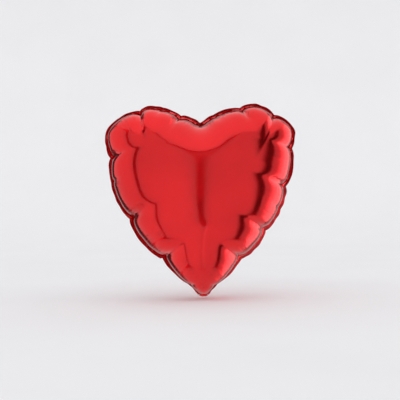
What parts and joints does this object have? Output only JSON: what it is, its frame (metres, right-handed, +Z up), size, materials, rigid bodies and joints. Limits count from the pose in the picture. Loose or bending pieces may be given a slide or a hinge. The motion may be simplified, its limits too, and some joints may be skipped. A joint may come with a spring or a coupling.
{
  "type": "heart-shaped foil balloon",
  "caption": "Inflated heart of two welded metallised foils, with a self-closing film valve in a filling neck folded up behind its foot.",
  "frame": {"origin": "middle of the fold line at the heart's foot, where the neck leaves the seam and a ribbon is tied round it", "axes": "+Z up through the notch between the lobes, -Y out of the front face, +X to the right as seen from the front"},
  "size_m": [0.3678, 0.158, 0.3736],
  "materials": {
    "front_foil": "mirror-bright red metallised film with a clear skin",
    "rear_foil": "mirror-bright red metallised film with a clear skin",
    "seam": "heat-sealed film",
    "neck_foil": "mirror-bright red metallised film, unstretched",
    "neck_weld": "heat-sealed film",
    "valve_film": "clear, slightly milky film"
  },
  "bodies": {
    "envelope": {"front_foil_panel": "front_foil", "rear_foil_panel": "rear_foil", "seam_weld": "seam", "valve_front_throat": "valve_film", "valve_rear_throat": "valve_film"},
    "front_lip": {"valve_front_lip": "valve_film"},
    "rear_lip": {"valve_rear_lip": "valve_film"},
    "neck": {"neck_front_foil": "neck_foil", "neck_rear_foil": "neck_foil", "neck_weld_left": "neck_weld", "neck_weld_right": "neck_weld", "valve_front_tail": "valve_film", "valve_rear_tail": "valve_film"}
  },
  "joints": [
    {"name": "neck_fold", "type": "hinge", "parent": "envelope", "child": "neck", "pos_m": [0, 0, 0], "axis": [1, 0, 0], "range_deg": [-207, 0]},
    {"name": "front_lip_opening", "type": "hinge", "parent": "envelope", "child": "front_lip", "pos_m": [0, -0.00025, 0.01272], "axis": [1, 0, 0], "range_deg": [0, 6], "stiffness_Nm_per_rad": 0.0005},
    {"name": "rear_lip_opening", "type": "hinge", "parent": "envelope", "child": "rear_lip", "pos_m": [0, 0.00025, 0.01272], "axis": [-1, 0, 0], "range_deg": [0, 6], "stiffness_Nm_per_rad": 0.0005}
  ],
  "couplings": [
    {"joint": "rear_lip_opening", "follows": "front_lip_opening", "ratio": 1}
  ]
}
